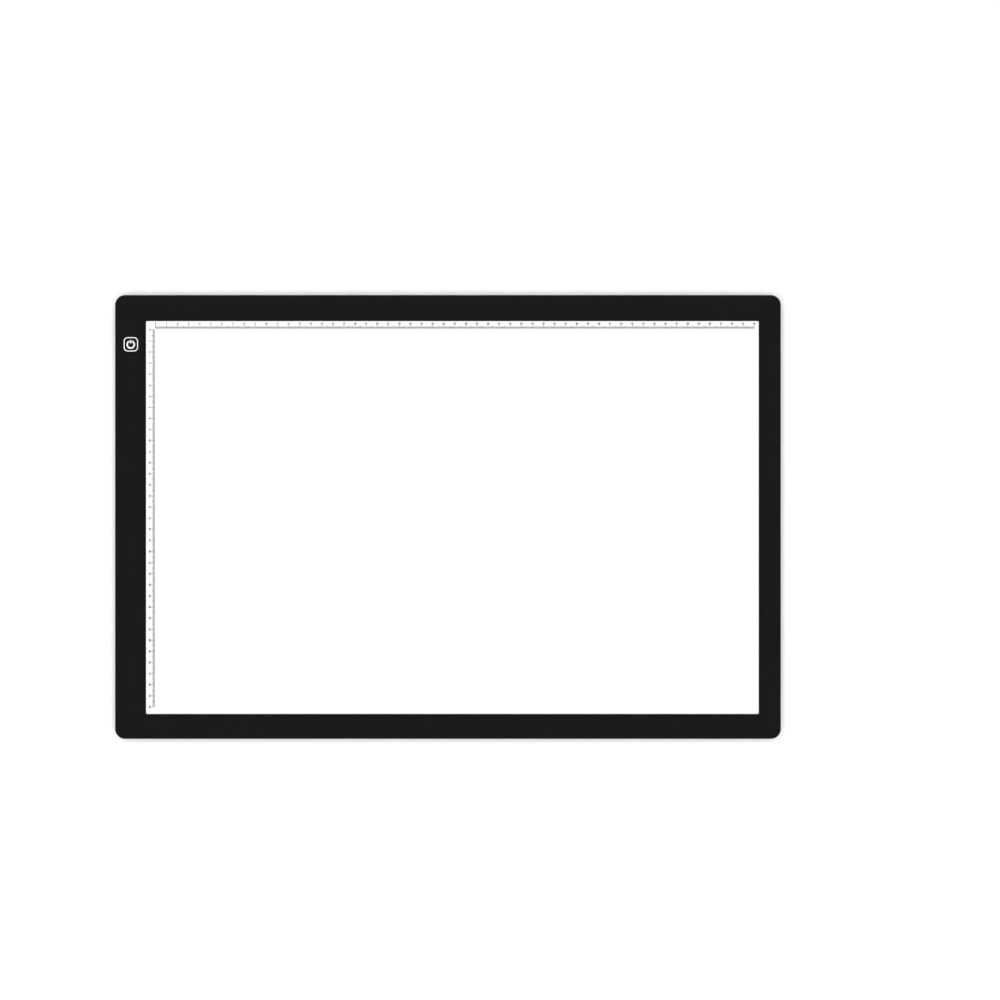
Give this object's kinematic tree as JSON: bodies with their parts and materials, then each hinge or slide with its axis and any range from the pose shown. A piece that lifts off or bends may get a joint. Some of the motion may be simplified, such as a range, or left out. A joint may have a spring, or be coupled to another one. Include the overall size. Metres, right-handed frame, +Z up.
{
  "type": "light box",
  "caption": "Thin flat edge-lit tracing pad: white lit window in a black border with a centimetre scale, a touch key, a slim frame and rubber feet.",
  "frame": {"origin": "middle of the pad's outline, in the plane that the undersides of the rubber feet stand on", "axes": "+X to the right along the longer side, +Y away from the person drawing, towards the border with the touch key's end, +Z up out of the lit face"},
  "size_m": [0.6, 0.4, 0.01],
  "materials": {
    "clear_acrylic": "polished",
    "black_print_film": "gloss",
    "lit_diffuser": "matte",
    "reflector_white": "satin",
    "guide_acrylic": "polished",
    "grey_sheet": "satin",
    "pale_shell": "satin",
    "black_rubber": "matte",
    "mounting_tape": "matte",
    "circuit_board_green": "satin",
    "led_board_white": "satin",
    "black_moulding": "satin",
    "tinned_metal": "gloss",
    "capacitor_ceramic": "satin",
    "copper_link": "satin",
    "red_sleeve": "satin",
    "black_sleeve": "satin",
    "white_print": "matte"
  },
  "bodies": {
    "root": {"front_panel": "clear_acrylic", "border_film": "black_print_film", "diffuser_film": "lit_diffuser", "reflector_film": "reflector_white", "light_guide": "guide_acrylic", "rear_cover": "grey_sheet", "frame_front": "pale_shell", "frame_right": "pale_shell", "frame_rear": "pale_shell", "frame_left": "pale_shell", "jack_bezel": "pale_shell", "corner_front_right": "pale_shell", "corner_rear_right": "pale_shell", "corner_rear_left": "pale_shell", "corner_front_left": "pale_shell", "foot_rear_left": "black_rubber", "foot_rear_right": "black_rubber", "foot_front_left": "black_rubber", "foot_front_right": "black_rubber", "panel_tape_front": "mounting_tape", "panel_tape_right": "mounting_tape", "panel_tape_rear": "mounting_tape", "panel_tape_left": "mounting_tape", "cover_tape_front": "mounting_tape", "cover_tape_right": "mounting_tape", "cover_tape_rear": "mounting_tape", "cover_tape_left": "mounting_tape", "board_tape": "mounting_tape", "control_board": "circuit_board_green", "led_strip_front_left": "led_board_white", "led_strip_front_right": "led_board_white", "led_strip_rear_left": "led_board_white", "led_strip_rear_right": "led_board_white", "jack_housing": "black_moulding", "touch_chip": "black_moulding", "driver_chip": "black_moulding", "boost_inductor": "black_moulding", "power_diode": "black_moulding", "jack_pin": "tinned_metal", "jack_contact": "tinned_metal", "touch_plate": "tinned_metal", "touch_spring": "tinned_metal", "input_capacitor": "capacitor_ceramic", "output_capacitor": "capacitor_ceramic", "strip_link_front": "copper_link", "strip_link_rear": "copper_link", "lead_front_positive": "red_sleeve", "lead_rear_positive": "red_sleeve", "lead_front_negative": "black_sleeve", "lead_rear_negative": "black_sleeve"}
  },
  "joints": []
}
